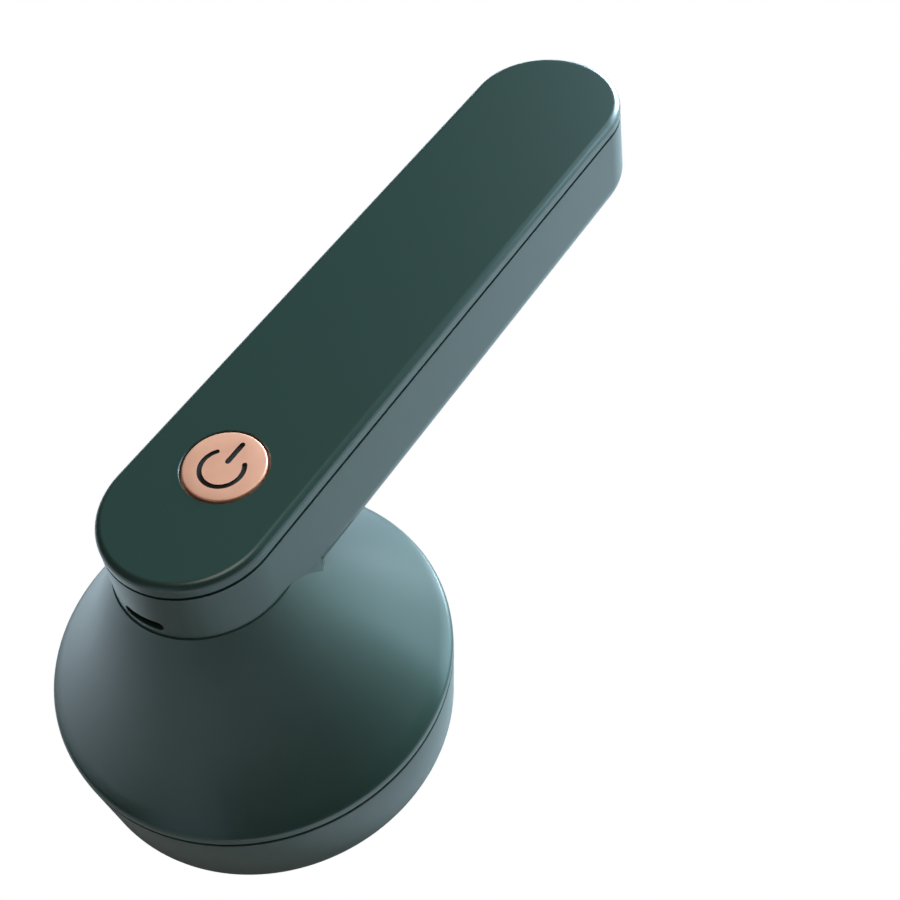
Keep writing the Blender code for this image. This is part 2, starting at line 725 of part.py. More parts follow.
def motor_stator():
    base = MOTOR_CAN_TOP + 0.2 * MM
    profile = [
        (1.3 * MM, MOTOR_TOP),
        (4.0 * MM, MOTOR_TOP),
        (4.0 * MM, MOTOR_TOP - 0.9 * MM),
        (MOTOR_RADIUS - 0.5 * MM, MOTOR_TOP - 0.9 * MM),
        (MOTOR_RADIUS - 0.5 * MM, base),
        (1.3 * MM, base),
    ]
    piece("motor_end_cap", turned(profile, ROUND), WHITE)
    for index, side in enumerate((0, 180)):
        magnet = sector(7.6 * MM, 9.1 * MM, 25.0 * MM, 42.0 * MM, side + 25, side + 155, 10)
        piece(f"motor_magnet_{index + 1}", magnet, FERRITE)
    piece("motor_bushing", tube(2.8 * MM, SHAFT_RADIUS + 0.15 * MM, 20.8 * MM, 24.2 * MM, 20), BRASS)


def motor_rotor(axis):
    bore = SHAFT_RADIUS + 0.15 * MM
    core = piece("motor_armature", tube(7.0 * MM, bore, 26.5 * MM, 41.0 * MM, 30), STEEL, parent=axis)
    for index in range(3):
        slot = sector(4.4 * MM, 9 * MM, 25 * MM, 43 * MM, 120 * index + 52, 120 * index + 68, 2)
        cut(core, helper(f"armature_slot_{index}", slot))
    piece("motor_commutator", tube(2.6 * MM, bore, 41.2 * MM, 44.2 * MM, 18), COPPER, parent=axis)
    piece("motor_shaft", cylinder(SHAFT_RADIUS, 8.2 * MM, 46.6 * MM, 16), STEEL, parent=axis)


# ---- cutter ----------------------------------------------------------------------------


def drive_hub(axis):
    bore = SHAFT_RADIUS + 0.35 * MM
    seat = 5.5 * MM
    body = 3.55 * MM
    profile = [
        (bore, HUB_Z[1]),
        (seat, HUB_Z[1]),
        (seat, HUB_Z[1] - 1.0 * MM),
        (body, HUB_Z[1] - 1.0 * MM),
        (body, HUB_Z[0] + 0.3 * MM),
        (body - 0.3 * MM, HUB_Z[0]),
        (0, HUB_Z[0]),
    ]
    profile = [(0, 7.9 * MM), (bore, 7.9 * MM)] + profile
    return piece("drive_hub", turned(profile, 6), DARK, parent=axis)


def blade_carrier(axis):
    socket = 4.05 * MM
    outer = 6.2 * MM
    base, top = CARRIER_Z
    profile = [
        (0, 4.9 * MM),
        (socket, 4.9 * MM),
        (socket, top),
        (outer, top),
        (outer, base),
        (0, base),
    ]
    carrier = piece("blade_carrier", turned(profile, 24), WHITE, parent=axis)
    for index in range(BLADE_COUNT):
        low = (3.0 * MM, -1.1 * MM, base + 0.05 * MM)
        high = (BLADE_TIP - 0.6 * MM, 1.1 * MM, base + 1.5 * MM)
        turn = (0, 0, math.tau * index / BLADE_COUNT)
        join(carrier, helper(f"carrier_arm_{index}", box(low, high), turn=turn))
    hollow = turned([(0, 4.9 * MM), (0, top + MM), (socket, top + MM), (socket, 4.9 * MM)][::-1], 6)
    return cut(carrier, helper("carrier_socket", hollow))


def cutter_blades(axis):
    """Thin steel strips below the arms, raked so that each leading edge runs on the foil."""
    height = 2.1 * MM
    rake = 0.9 * MM
    thickness = 0.35 * MM
    for index in range(BLADE_COUNT):
        section = [
            (-thickness, 0),
            (0, 0),
            (rake, height),
            (rake - thickness, height),
        ]
        bm = extruded([(y, z) for y, z in section], BLADE_ROOT, BLADE_TIP)
        blade = piece(f"cutter_blade_{index + 1}", bm, BLADE_STEEL, (0, 0, 0), parent=axis)
        blade.rotation_euler = (math.pi / 2, 0, math.pi / 2 + math.tau * index / BLADE_COUNT)
        blade.location = (0, 0, BLADE_FOOT)


# ---- foil and guard --------------------------------------------------------------------


def foil_mesh(axis):
    thin = FOIL_THICKNESS
    wall = FOIL_RADIUS
    profile = [
        (0, thin),
        (wall - 0.9 * MM, thin),
        (wall - thin, 1.0 * MM),
        (wall - thin, FOIL_FLANGE_Z + thin),
        (FOIL_FLANGE_RADIUS, FOIL_FLANGE_Z + thin),
        (FOIL_FLANGE_RADIUS, FOIL_FLANGE_Z),
        (wall, FOIL_FLANGE_Z),
        (wall, 0.9 * MM),
        (wall - 0.8 * MM, 0),
        (0, 0),
    ]
    return piece("foil_mesh", turned(profile, 40), BLADE_STEEL, parent=axis)


def cam_height(azimuth):
    """The cam's top: high under the pin at rest, then falling as the guard turns."""
    high = PIN_BOTTOM - GAP
    share = (PIN_AZIMUTH - azimuth) / TWIST
    return high - PIN_DROP * min(max(share, 0.0), 1.0)


def cam_rib():
    """The ramp that holds the interlock pin up until the guard is turned."""
    bm = bmesh.new()
    inner, outer, base = 22.8 * MM, 28.8 * MM, 6.2 * MM
    columns = []
    for azimuth in (58.0, 65.0, 73.0, 81.0, 90.0, 97.0):
        top = cam_height(azimuth)
        columns.append([
            bm.verts.new(around(inner, azimuth, base)),
            bm.verts.new(around(outer, azimuth, base)),
            bm.verts.new(around(outer, azimuth, top)),
            bm.verts.new(around(inner, azimuth, top)),
        ])
    for first, second in zip(columns, columns[1:]):
        for k in range(4):
            bm.faces.new((first[k], first[(k + 1) % 4], second[(k + 1) % 4], second[k]))
    bm.faces.new(columns[0])
    bm.faces.new(columns[-1])
    return helper("cam_rib", bm)


def foil_retainer(axis):
    base = FOIL_FLANGE_Z + FOIL_THICKNESS + GAP
    ring = piece("foil_retainer", tube(*RETAINER_RADII, base, RETAINER_TOP, 40), DARK, parent=axis)
    return join(ring, cam_rib())


def guard_ring(axis):
    foot = GUARD_FOOT_RADIUS
    fillet = arc((foot - GUARD_FILLET, GUARD_FILLET), GUARD_FILLET, 0, -90, 5)
    seat = FOIL_FLANGE_Z - GAP
    profile = [(GUARD_TOP_RADIUS - 0.3 * MM, GUARD_TOP), (GUARD_TOP_RADIUS, GUARD_TOP - 0.3 * MM)]
    profile += fillet
    profile += [
        (FACE_OPENING + 0.4 * MM, 0),
        (FACE_OPENING, 0.4 * MM),
        (FACE_OPENING, seat),
        (foot - GUARD_WALL, seat),
        (GUARD_TOP_RADIUS - GUARD_WALL, GUARD_TOP),
    ]
    ring = piece("guard_ring", turned(profile, FINE), GREEN, parent=axis)
    for index in range(LUG_COUNT):
        azimuth = 360.0 / LUG_COUNT * index
        start, end = azimuth - LUG_WIDTH / 2, azimuth + LUG_WIDTH / 2
        lug = sector(SKIRT_INNER + 0.3 * MM, 33.9 * MM, *LUG_Z, start, end, 2)
        nib = sector(*NIB_RADII, RETAINER_TOP + GAP, RETAINER_TOP + 1.3 * MM, azimuth + 50, azimuth + 60, 2)
        join(ring, helper(f"bayonet_lug_{index}", lug), helper(f"retainer_nib_{index}", nib))
    return ring


# ---- interlock -------------------------------------------------------------------------


def interlock(axis):
    place = around(PIN_ORBIT, PIN_AZIMUTH)
    collar = (21.7 * MM, 22.4 * MM)
    profile = [
        (0, SWITCH_BOTTOM - 0.25 * MM),
        (PIN_RADIUS, SWITCH_BOTTOM - 0.25 * MM),
        (PIN_RADIUS, collar[1]),
        (2.1 * MM, collar[1]),
        (2.1 * MM, collar[0]),
        (PIN_RADIUS, collar[0]),
        (PIN_RADIUS, PIN_BOTTOM + 0.4 * MM),
        (PIN_RADIUS - 0.4 * MM, PIN_BOTTOM),
        (0, PIN_BOTTOM),
    ]
    piece("interlock_pin", turned(profile, 16), WHITE, parent=axis)
    coil("interlock_spring", 1.75 * MM, 0.25 * MM, collar[1] + 0.1 * MM, SWITCH_BOTTOM - 0.1 * MM, 3, place)
    low = (-3.6 * MM, place[1] - 2.6 * MM, SWITCH_BOTTOM)
    high = (3.6 * MM, place[1] + 1.6 * MM, SWITCH_BOTTOM + 3.3 * MM)
    piece("interlock_switch", box(low, high), DARK)


def build():
    clear_scene()
    button_axis = axis_empty("button_axis", (BUTTON_X, 0, 0))
    spin_axis = axis_empty("spin_axis", (0, 0, 0))
    guard_axis = axis_empty("guard_axis", (0, 0, 0))
    pin_axis = axis_empty("pin_axis", around(PIN_ORBIT, PIN_AZIMUTH))
    handle_cover()
    handle_housing()
    power_button(button_axis)
    switch_body()
    switch_plunger(button_axis)
    control_board()
    charging_socket()
    battery()
    leads()
    board_screws()
    head_shell()
    neck_screws()
    motor_mount()
    mount_screws()
    motor_can()
    motor_stator()
    motor_rotor(spin_axis)
    drive_hub(spin_axis)
    coil("cutter_spring", 4.75 * MM, 0.5 * MM, *SPRING_Z, 4, (0, 0, 0))
    blade_carrier(spin_axis)
    cutter_blades(spin_axis)
    foil_mesh(guard_axis)
    foil_retainer(guard_axis)
    guard_ring(guard_axis)
    interlock(pin_axis)


build()
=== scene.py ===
"""The cordless fabric shaver's looks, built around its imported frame. Metres, +Z up."""

import math

import bmesh
import bpy
from mathutils import Matrix, Vector


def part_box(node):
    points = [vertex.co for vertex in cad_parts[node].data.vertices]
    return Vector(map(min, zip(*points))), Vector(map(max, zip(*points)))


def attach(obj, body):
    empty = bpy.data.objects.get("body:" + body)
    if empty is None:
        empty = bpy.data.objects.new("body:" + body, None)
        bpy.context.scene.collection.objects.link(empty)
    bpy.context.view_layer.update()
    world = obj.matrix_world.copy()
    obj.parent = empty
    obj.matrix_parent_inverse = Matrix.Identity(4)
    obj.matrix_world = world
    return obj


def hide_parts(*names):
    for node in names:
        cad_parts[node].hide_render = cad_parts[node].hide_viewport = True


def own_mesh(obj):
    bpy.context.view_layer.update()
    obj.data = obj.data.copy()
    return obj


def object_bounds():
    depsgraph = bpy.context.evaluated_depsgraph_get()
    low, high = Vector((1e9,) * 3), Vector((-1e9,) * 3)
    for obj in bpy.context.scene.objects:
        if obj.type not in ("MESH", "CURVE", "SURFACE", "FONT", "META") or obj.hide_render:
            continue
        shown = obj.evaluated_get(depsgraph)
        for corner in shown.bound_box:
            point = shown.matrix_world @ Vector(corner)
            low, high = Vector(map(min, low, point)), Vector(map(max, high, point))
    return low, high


MM = 0.001

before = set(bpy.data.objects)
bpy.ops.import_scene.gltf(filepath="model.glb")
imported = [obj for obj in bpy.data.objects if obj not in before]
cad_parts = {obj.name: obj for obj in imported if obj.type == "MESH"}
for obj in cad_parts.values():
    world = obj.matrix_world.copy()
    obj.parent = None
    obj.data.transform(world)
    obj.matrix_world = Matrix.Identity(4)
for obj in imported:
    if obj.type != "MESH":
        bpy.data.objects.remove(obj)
CAD_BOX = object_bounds()


# ---- sizes, read from the frame --------------------------------------------------------

COVER_LOW, COVER_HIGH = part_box("handle_top_cover")
HOUSING_LOW, HOUSING_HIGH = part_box("handle_housing")
HEAD_LOW, HEAD_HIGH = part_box("head_shell")
GUARD_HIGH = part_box("guard_ring")[1]
BUTTON_LOW, BUTTON_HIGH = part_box("power_button")
FOIL_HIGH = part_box("foil_mesh")[1]

HALF_WIDTH = COVER_HIGH.y
NOSE_X = COVER_LOW.x + HALF_WIDTH
TAIL_X = COVER_HIGH.x - HALF_WIDTH
TOP = COVER_HIGH.z
COVER_DEPTH = 2.6 * MM
COVER_BOTTOM = TOP - COVER_DEPTH
COVER_UNDER = TOP - 1.1 * MM
COVER_EDGE = 1.3 * MM
DRAFT = 0.048
HOUSING_TOP = HOUSING_HIGH.z
HOUSING_BOTTOM = HOUSING_LOW.z
HOUSING_FILLET = 5.0 * MM
WALL = 1.5 * MM

BUTTON_X = (BUTTON_LOW.x + BUTTON_HIGH.x) / 2
BUTTON_RADIUS = 6.64 * MM
BUTTON_HOLE = 7.03 * MM
BUTTON_TOP = BUTTON_HIGH.z
ENGRAVING_DEPTH = 0.28 * MM

RIM_RADIUS = HEAD_HIGH.x
RIM_BOTTOM = HEAD_LOW.z
RIM_TOP = RIM_BOTTOM + 1.4 * MM
HEAD_TOP = HEAD_HIGH.z
FLANK_FOOT = (34.3 * MM, 20.0 * MM)
FLANK_TOP = (14.95 * MM, HEAD_TOP)
FLANK_SAG = 2.2 * MM
SHELL_WALL = 1.8 * MM
ROOF = 1.6 * MM
LEAN_FROM = 20.0 * MM
LEAN_TO = 48.0 * MM
NECK_RADIUS = 16.6 * MM
BOSS_AZIMUTHS = (30, 150, 270)
BOSS_OUT = 27.5 * MM
BOSS_RADIUS = 2.5 * MM
BOSS_Z = (20.6 * MM, 24.4 * MM)

GUARD_TOP = GUARD_HIGH.z
GUARD_TOP_RADIUS = GUARD_HIGH.x
GUARD_FOOT_RADIUS = 33.8 * MM
GUARD_FILLET = 3.0 * MM
GUARD_WALL = 1.5 * MM
FACE_OPENING = 27.6 * MM
LUG_RADII = (30.8 * MM, 33.9 * MM)
LUG_Z = (13.8 * MM, 15.3 * MM)
NIB_RADII = (31.1 * MM, 33.3 * MM)
NIB_Z = (6.8 * MM, 7.8 * MM)

FOIL_THICKNESS = 0.25 * MM
FOIL_RADIUS = 26.9 * MM
HOLE_PITCH = 1.5 * MM
HOLE_RADIUS = 0.5 * MM

PORT_Z = (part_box("charge_port_shell")[0].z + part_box("charge_port_shell")[1].z) / 2
SLOT_HALF = (3.7 * MM, 1.0 * MM)


# ---- mesh helpers ----------------------------------------------------------------------


def new_piece(name, bm, material, body, stands_for=(), sharp=34):
    """Makes a piece that rides on a body, in place of the nodes it stands for."""
    bmesh.ops.remove_doubles(bm, verts=bm.verts, dist=1e-7)
    bmesh.ops.recalc_face_normals(bm, faces=bm.faces)
    mesh = bpy.data.meshes.new(name)
    bm.to_mesh(mesh)
    bm.free()
    for item in material if isinstance(material, (list, tuple)) else [material]:
        mesh.materials.append(item)
    mesh.shade_smooth()
    mesh.set_sharp_from_angle(angle=math.radians(sharp))
    obj = bpy.data.objects.new(name, mesh)
    bpy.context.scene.collection.objects.link(obj)
    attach(obj, body)
    if stands_for:
        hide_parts(*stands_for)
    return obj


def flat_normals(obj):
    """Keeps the large flat faces flat beside their small rounded edges."""
    modifier = obj.modifiers.new("flat faces stay flat", "WEIGHTED_NORMAL")
    modifier.keep_sharp = True


def arc(centre, radius, start, end, count):
    """Points along an arc, both ends included, with its angles in degrees."""
    angles = [math.radians(start + (end - start) * i / count) for i in range(count + 1)]
    return [(centre[0] + radius * math.cos(a), centre[1] + radius * math.sin(a)) for a in angles]


def circle(centre, radius, count):
    return arc(centre, radius, 0, 360, count)[:-1]


def stadium(front, back, half_width, count=40):
    """The outline of a bar with half-round ends, centred there along X."""
    tail = arc((back, 0), half_width, -90, 90, count)
    nose = arc((front, 0), half_width, 90, 270, count)
    return tail + nose


def ring_of(bm, outline, z):
    return [bm.verts.new((x, y, z)) for x, y in outline]


def skin(bm, rings):
    """Quads between each ring and the next."""
    for lower, upper in zip(rings, rings[1:]):
        count = len(lower)
        for i in range(count):
            bm.faces.new((lower[i], lower[(i + 1) % count], upper[(i + 1) % count], upper[i]))


def loop_edges(bm, ring):
    """The edges round a ring, made where they are missing."""
    edges = []
    for i, vert in enumerate(ring):
        following = ring[(i + 1) % len(ring)]
        edges.append(bm.edges.get((vert, following)) or bm.edges.new((vert, following)))
    return edges


def fill(bm, *rings, material=0):
    """A flat face inside the first ring, with the other rings as its holes."""
    edges = [edge for ring in rings for edge in loop_edges(bm, ring)]
    made = bmesh.ops.triangle_fill(bm, use_beauty=True, use_dissolve=False, edges=edges)
    for item in made["geom"]:
        if isinstance(item, bmesh.types.BMFace):
            item.material_index = material


def turned(profile, segments):
    """A profile of radii and heights, spun round Z; one that ends on the axis at both ends stays open."""
    bm = bmesh.new()
    verts = [bm.verts.new((r, 0, z)) for r, z in profile]
    pairs = list(zip(verts, verts[1:]))
    if not (profile[0][0] == 0 and profile[-1][0] == 0):
        pairs.append((verts[-1], verts[0]))
    edges = [bm.edges.new(pair) for pair in pairs]
    bmesh.ops.spin(
        bm,
        geom=verts + edges,
        cent=(0, 0, 0),
        axis=(0, 0, 1),
        angle=math.tau,
        steps=segments,
        use_merge=True,
    )
    bmesh.ops.remove_doubles(bm, verts=bm.verts, dist=1e-7)
    return bm


def extruded(outline, low, high, place=None):
    """A closed prism between two heights, moved by a matrix if one is given."""
    bm = bmesh.new()
    bottom = ring_of(bm, outline, low)
    top = ring_of(bm, outline, high)
    skin(bm, [bottom, top])
    bm.faces.new(bottom)
    bm.faces.new(top)
    bmesh.ops.recalc_face_normals(bm, faces=bm.faces)
    if place:
        bm.transform(place)
    return bm


def added(bm, other):
    """Puts another bmesh's faces into this one."""
    mesh = bpy.data.meshes.new("joined")
    other.to_mesh(mesh)
    other.free()
    bm.from_mesh(mesh)
    bpy.data.meshes.remove(mesh)


def cut_bmesh(bm, others, operation="DIFFERENCE"):
    """The bmesh after one exact Boolean with each of the others, as a new bmesh."""
    made = []

    def stand_in(shape, name):
        bmesh.ops.recalc_face_normals(shape, faces=shape.faces)
        mesh = bpy.data.meshes.new(name)
        shape.to_mesh(mesh)
        shape.free()
        obj = bpy.data.objects.new(name, mesh)
        bpy.context.scene.collection.objects.link(obj)
        made.append(obj)
        return obj

    target = stand_in(bm, "boolean target")
    for shape in others:
        tool = stand_in(shape, "boolean tool")
        modifier = target.modifiers.new("cut", "BOOLEAN")
        modifier.operation = operation
        modifier.object = tool
        modifier.solver = "EXACT"
    graph = bpy.context.evaluated_depsgraph_get()
    result = bmesh.new()
    result.from_mesh(target.evaluated_get(graph).to_mesh())
    for obj in made:
        mesh = obj.data
        bpy.data.objects.remove(obj)
        bpy.data.meshes.remove(mesh)
    return result


def sector(inner, outer, low, high, start, end, count=6):
    """A block with the plan of a piece of a ring."""
    outline = arc((0, 0), outer, start, end, count) + arc((0, 0), inner, end, start, count)
    return extruded(outline, low, high)


def lean(bm):
    """Leans the cone forward, so that its top sits under the nose while its foot stays level."""
    for vert in bm.verts:
        share = min(max((vert.co.z - LEAN_FROM) / (LEAN_TO - LEAN_FROM), 0.0), 1.0)
        vert.co.x += NOSE_X * share * share * (3 - 2 * share)
    return bm


def bend(start, control, end, t):
    """The point at share t of a quadratic curve."""
    return tuple(
        (1 - t) ** 2 * start[k] + 2 * t * (1 - t) * control[k] + t * t * end[k] for k in (0, 1)
    )


def flank(offset=0.0, count=16):
    """The cone's slightly hollow side, foot to top."""
    control = (
        (FLANK_FOOT[0] + FLANK_TOP[0]) / 2 - FLANK_SAG,
        (FLANK_FOOT[1] + FLANK_TOP[1]) / 2,
    )
    points = []
    for i in range(count + 1):
        r, z = bend(FLANK_FOOT, control, FLANK_TOP, i / count)
        points.append((r + offset, z))
    return points


# ---- materials -------------------------------------------------------------------------


def blank(name, colour, roughness, metallic=0.0, **sockets):
    """A material with its uniform values set on the shader's own sockets."""
    material = bpy.data.materials.new(name)
    material.use_nodes = True
    shader = material.node_tree.nodes["Principled BSDF"]
    shader.inputs["Base Color"].default_value = (*colour, 1.0)
    shader.inputs["Roughness"].default_value = roughness
    shader.inputs["Metallic"].default_value = metallic
    for socket, value in sockets.items():
        shader.inputs[socket.replace("_", " ")].default_value = value
    return material, material.node_tree, shader


def noise(tree, scale, detail=3.0, stretch=(1, 1, 1)):
    """Noise in object space, so that its scale is in features per metre."""
    place = tree.nodes.new("ShaderNodeTexCoord")
    mapping = tree.nodes.new("ShaderNodeMapping")
    mapping.inputs["Scale"].default_value = stretch
    texture = tree.nodes.new("ShaderNodeTexNoise")
    texture.inputs["Scale"].default_value = scale
    texture.inputs["Detail"].default_value = detail
    tree.links.new(place.outputs["Object"], mapping.inputs["Vector"])
    tree.links.new(mapping.outputs["Vector"], texture.inputs["Vector"])
    return texture.outputs["Fac"]


def between(tree, factor, low, high, into):
    """Maps a factor of about 0.3 to 0.7 to a range of values."""
    node = tree.nodes.new("ShaderNodeMapRange")
    node.inputs["From Min"].default_value = 0.3
    node.inputs["From Max"].default_value = 0.7
    node.inputs["To Min"].default_value = low
    node.inputs["To Max"].default_value = high
    tree.links.new(factor, node.inputs["Value"])
    tree.links.new(node.outputs["Result"], into)


def tint(tree, factor, first, second, into):
    """Maps the same range of factors from one colour to another."""
    ramp = tree.nodes.new("ShaderNodeValToRGB")
    ramp.color_ramp.elements[0].position = 0.3
    ramp.color_ramp.elements[1].position = 0.7
    ramp.color_ramp.elements[0].color = (*first, 1.0)
    ramp.color_ramp.elements[1].color = (*second, 1.0)
    tree.links.new(factor, ramp.inputs["Fac"])
    tree.links.new(ramp.outputs["Color"], into)


def bump(tree, shader, height, distance):
    """A relief of a given depth in the shader's normal."""
    node = tree.nodes.new("ShaderNodeBump")
    node.inputs["Strength"].default_value = 1.0
    node.inputs["Distance"].default_value = distance
    tree.links.new(height, node.inputs["Height"])
    tree.links.new(node.outputs["Normal"], shader.inputs["Normal"])


def shaded(colour, amount):
    return tuple(min(1.0, channel * amount) for channel in colour)


def moulded(name, colour, roughness, spread=0.06, grain=2600, depth=0.004 * MM, marks=0.05, **sockets):
    """Moulded or painted plastic: a cloudy tint, a fine grain, and marks that vary its roughness."""
    material, tree, shader = blank(name, colour, roughness, **sockets)
    cloud = noise(tree, 55, 4)
    tint(tree, cloud, shaded(colour, 1 - spread), shaded(colour, 1 + spread), shader.inputs["Base Color"])
    smear = noise(tree, 140, 5, (1, 1.6, 1))
    between(tree, smear, roughness - marks, roughness + marks, shader.inputs["Roughness"])
    bump(tree, shader, noise(tree, grain, 2), depth)
    return material


def metal(name, colour, roughness, stretch=(1, 1, 1), grain=900, depth=0.003 * MM, **sockets):
    """Metal with a drawn or ground grain along one direction."""
    material, tree, shader = blank(name, colour, roughness, 1.0, **sockets)
    streak = noise(tree, grain, 4, stretch)
    tint(tree, streak, shaded(colour, 0.88), shaded(colour, 1.08), shader.inputs["Base Color"])
    between(tree, streak, roughness - 0.07, roughness + 0.08, shader.inputs["Roughness"])
    bump(tree, shader, streak, depth)
    return material


def laminate():
    """Solder mask over a glass weave."""
    colour = (0.010, 0.115, 0.048)
    material, tree, shader = blank("board_laminate", colour, 0.35, Coat_Weight=0.4)
    place = tree.nodes.new("ShaderNodeTexCoord")
    checks = tree.nodes.new("ShaderNodeTexChecker")
    checks.inputs["Scale"].default_value = 2200
    checks.inputs["Color1"].default_value = (*shaded(colour, 0.85), 1)
    checks.inputs["Color2"].default_value = (*shaded(colour, 1.15), 1)
    tree.links.new(place.outputs["Object"], checks.inputs["Vector"])
    tree.links.new(checks.outputs["Color"], shader.inputs["Base Color"])
    bump(tree, shader, checks.outputs["Fac"], 0.004 * MM)
    return material


def windings():
    """Enamelled copper wire, as close turns."""
    colour = (0.62, 0.22, 0.09)
    material, tree, shader = blank("copper_windings", colour, 0.3, 0.9, Coat_Weight=0.6)
    place = tree.nodes.new("ShaderNodeTexCoord")
    turns = tree.nodes.new("ShaderNodeTexWave")
    turns.inputs["Scale"].default_value = 900
    turns.inputs["Distortion"].default_value = 1.5
    tree.links.new(place.outputs["Object"], turns.inputs["Vector"])
    tint(tree, turns.outputs["Fac"], shaded(colour, 0.6), shaded(colour, 1.1), shader.inputs["Base Color"])
    bump(tree, shader, turns.outputs["Fac"], 0.05 * MM)
    return material


GREEN = moulded("satin_green_shell", (0.022, 0.048, 0.037), 0.28, 0.01, 3200, 0.0025 * MM, 0.0, IOR=1.6)
DARK = moulded("black_moulding", (0.018, 0.019, 0.021), 0.48, 0.1)
ENGRAVING = moulded("engraving_black", (0.008, 0.006, 0.006), 0.6, 0.1)
WHITE = moulded("natural_acetal", (0.74, 0.73, 0.69), 0.42, 0.03)
RED = moulded("red_insulation", (0.58, 0.03, 0.02), 0.45, 0.08)
BLACK = moulded("black_insulation", (0.02, 0.02, 0.022), 0.45, 0.1)
SLEEVE = moulded("cell_sleeve", (0.045, 0.19, 0.48), 0.3, 0.05, 1200)
FERRITE = moulded("ferrite", (0.045, 0.045, 0.05), 0.7, 0.15, 1800, 0.02 * MM)
STEEL = metal("plated_steel", (0.60, 0.61, 0.63), 0.3)
BLADE = metal("ground_blade_steel", (0.70, 0.71, 0.73), 0.2, (1, 1, 8), 1500)
FOIL = metal("foil_steel", (0.66, 0.67, 0.69), 0.26, (1, 6, 1), 1400)
BRASS = metal("sintered_bronze", (0.66, 0.44, 0.18), 0.42, (1, 1, 1), 2600, 0.01 * MM)
STRIP = metal("nickel_strip", (0.66, 0.64, 0.58), 0.3, (1, 8, 1))
COPPER = metal("copper_bars", (0.80, 0.40, 0.24), 0.28, (1, 1, 6))
LAMINATE = laminate()
WINDINGS = windings()


def rose_gold():
    """Satin anodised metal of the button."""
    colour = (0.99, 0.45, 0.29)
    material, tree, shader = blank("rose_gold_anodised", colour, 0.38, 0.25)
    cloud = noise(tree, 260, 5)
    tint(tree, cloud, shaded(colour, 0.94), shaded(colour, 1.05), shader.inputs["Base Color"])
    between(tree, noise(tree, 900, 4, (1, 5, 1)), 0.32, 0.46, shader.inputs["Roughness"])
    bump(tree, shader, noise(tree, 4200, 2), 0.003 * MM)
    return material


ROSE = rose_gold()


# ---- camera, light and floor -----------------------------------------------------------


LENS_MM = 55.86
HEADING = math.radians(38.06)
TILT = math.radians(51.14)
ROLL = math.radians(-7.52)
CAMERA_PLACE = Vector((-78.14, -110.20, 227.70)) * MM

FLOOR_RADIUS = 6.0
COVE_RADIUS = 8.0
LAMP_TARGET = Vector((30 * MM, 0, 30 * MM))
LAMP_DISTANCE = 1.2
LAMP_SIZE = 0.75
WORLD_STRENGTH = 0.08
# Each lamp's name, azimuth, elevation, power in watts and colour.
LAMPS = (
    ("key past the tail", 0, 14, 57, (0.63, 0.84, 1.0)),
    ("right of the key", -30, 14, 7.0, (0.55, 0.85, 1.0)),
    ("overhead", -90, 80, 4.0, (0.92, 0.94, 0.86)),
    ("front of the nose", 180, 14, 0.6, (0.6, 0.8, 1.0)),
    ("under the foil", 0, -75, 6.0, (1.0, 1.0, 1.0)),
)


def make_camera():
    data = bpy.data.cameras.new("camera")
    data.lens = LENS_MM
    data.sensor_width = 36.0
    data.clip_start = 0.01
    data.clip_end = 20.0
    camera = bpy.data.objects.new("camera", data)
    bpy.context.scene.collection.objects.link(camera)
    ahead = Vector((
        math.cos(HEADING) * math.cos(TILT),
        math.sin(HEADING) * math.cos(TILT),
        -math.sin(TILT),
    ))
    level = ahead.to_track_quat("-Z", "Y").to_matrix().to_4x4()
    camera.matrix_world = Matrix.Translation(CAMERA_PLACE) @ level @ Matrix.Rotation(ROLL, 4, "Z")
    bpy.context.scene.camera = camera


def lamp(name, azimuth, elevation, power, colour):
    """A round softbox that faces the part, by the direction it stands in."""
    turn, rise = math.radians(azimuth), math.radians(elevation)
    ray = Vector((math.cos(turn) * math.cos(rise), math.sin(turn) * math.cos(rise), math.sin(rise)))
    data = bpy.data.lights.new(name, "AREA")
    data.shape = "DISK"
    data.size = LAMP_SIZE
    data.energy = power
    data.color = colour
    box = bpy.data.objects.new(name, data)
    bpy.context.scene.collection.objects.link(box)
    box.location = LAMP_TARGET + ray * LAMP_DISTANCE
    box.rotation_euler = (-ray).to_track_quat("-Z", "Y").to_euler()
    box.visible_camera = False


def stage_piece(name, bm, material):
    """A piece of the setting, which is no part of the object."""
    mesh = bpy.data.meshes.new(name)
    bm.to_mesh(mesh)
    bm.free()
    mesh.materials.append(material)
    piece = bpy.data.objects.new(name, mesh)
    bpy.context.scene.collection.objects.link(piece)
    return piece


def make_floor():
    """The pale floor, open under the foil, that lights the part from below and isn't seen itself."""
    material, _, _ = blank("pale_floor", (0.85, 0.85, 0.85), 1.0, Specular_IOR_Level=0.0)
    bm = bmesh.new()
    rings = [ring_of(bm, circle((0, 0), radius, 96), 0) for radius in (FACE_OPENING, FLOOR_RADIUS)]
    skin(bm, rings)
    floor = stage_piece("floor", bm, material)
    floor.location.z = CAD_BOX[0].z - 0.05 * MM
    floor.visible_camera = False


def make_cove():
    """A white shell all round, seen by the camera alone, so that it adds no light."""
    material, _, shader = blank("white_cove", (0, 0, 0), 1.0, Specular_IOR_Level=0.0)
    shader.inputs["Emission Color"].default_value = (1, 1, 1, 1)
    shader.inputs["Emission Strength"].default_value = 1.0
    bm = bmesh.new()
    bmesh.ops.create_icosphere(bm, subdivisions=3, radius=COVE_RADIUS)
    cove = stage_piece("cove", bm, material)
    cove.visible_diffuse = False
    cove.visible_glossy = False
    cove.visible_transmission = False
    cove.visible_shadow = False


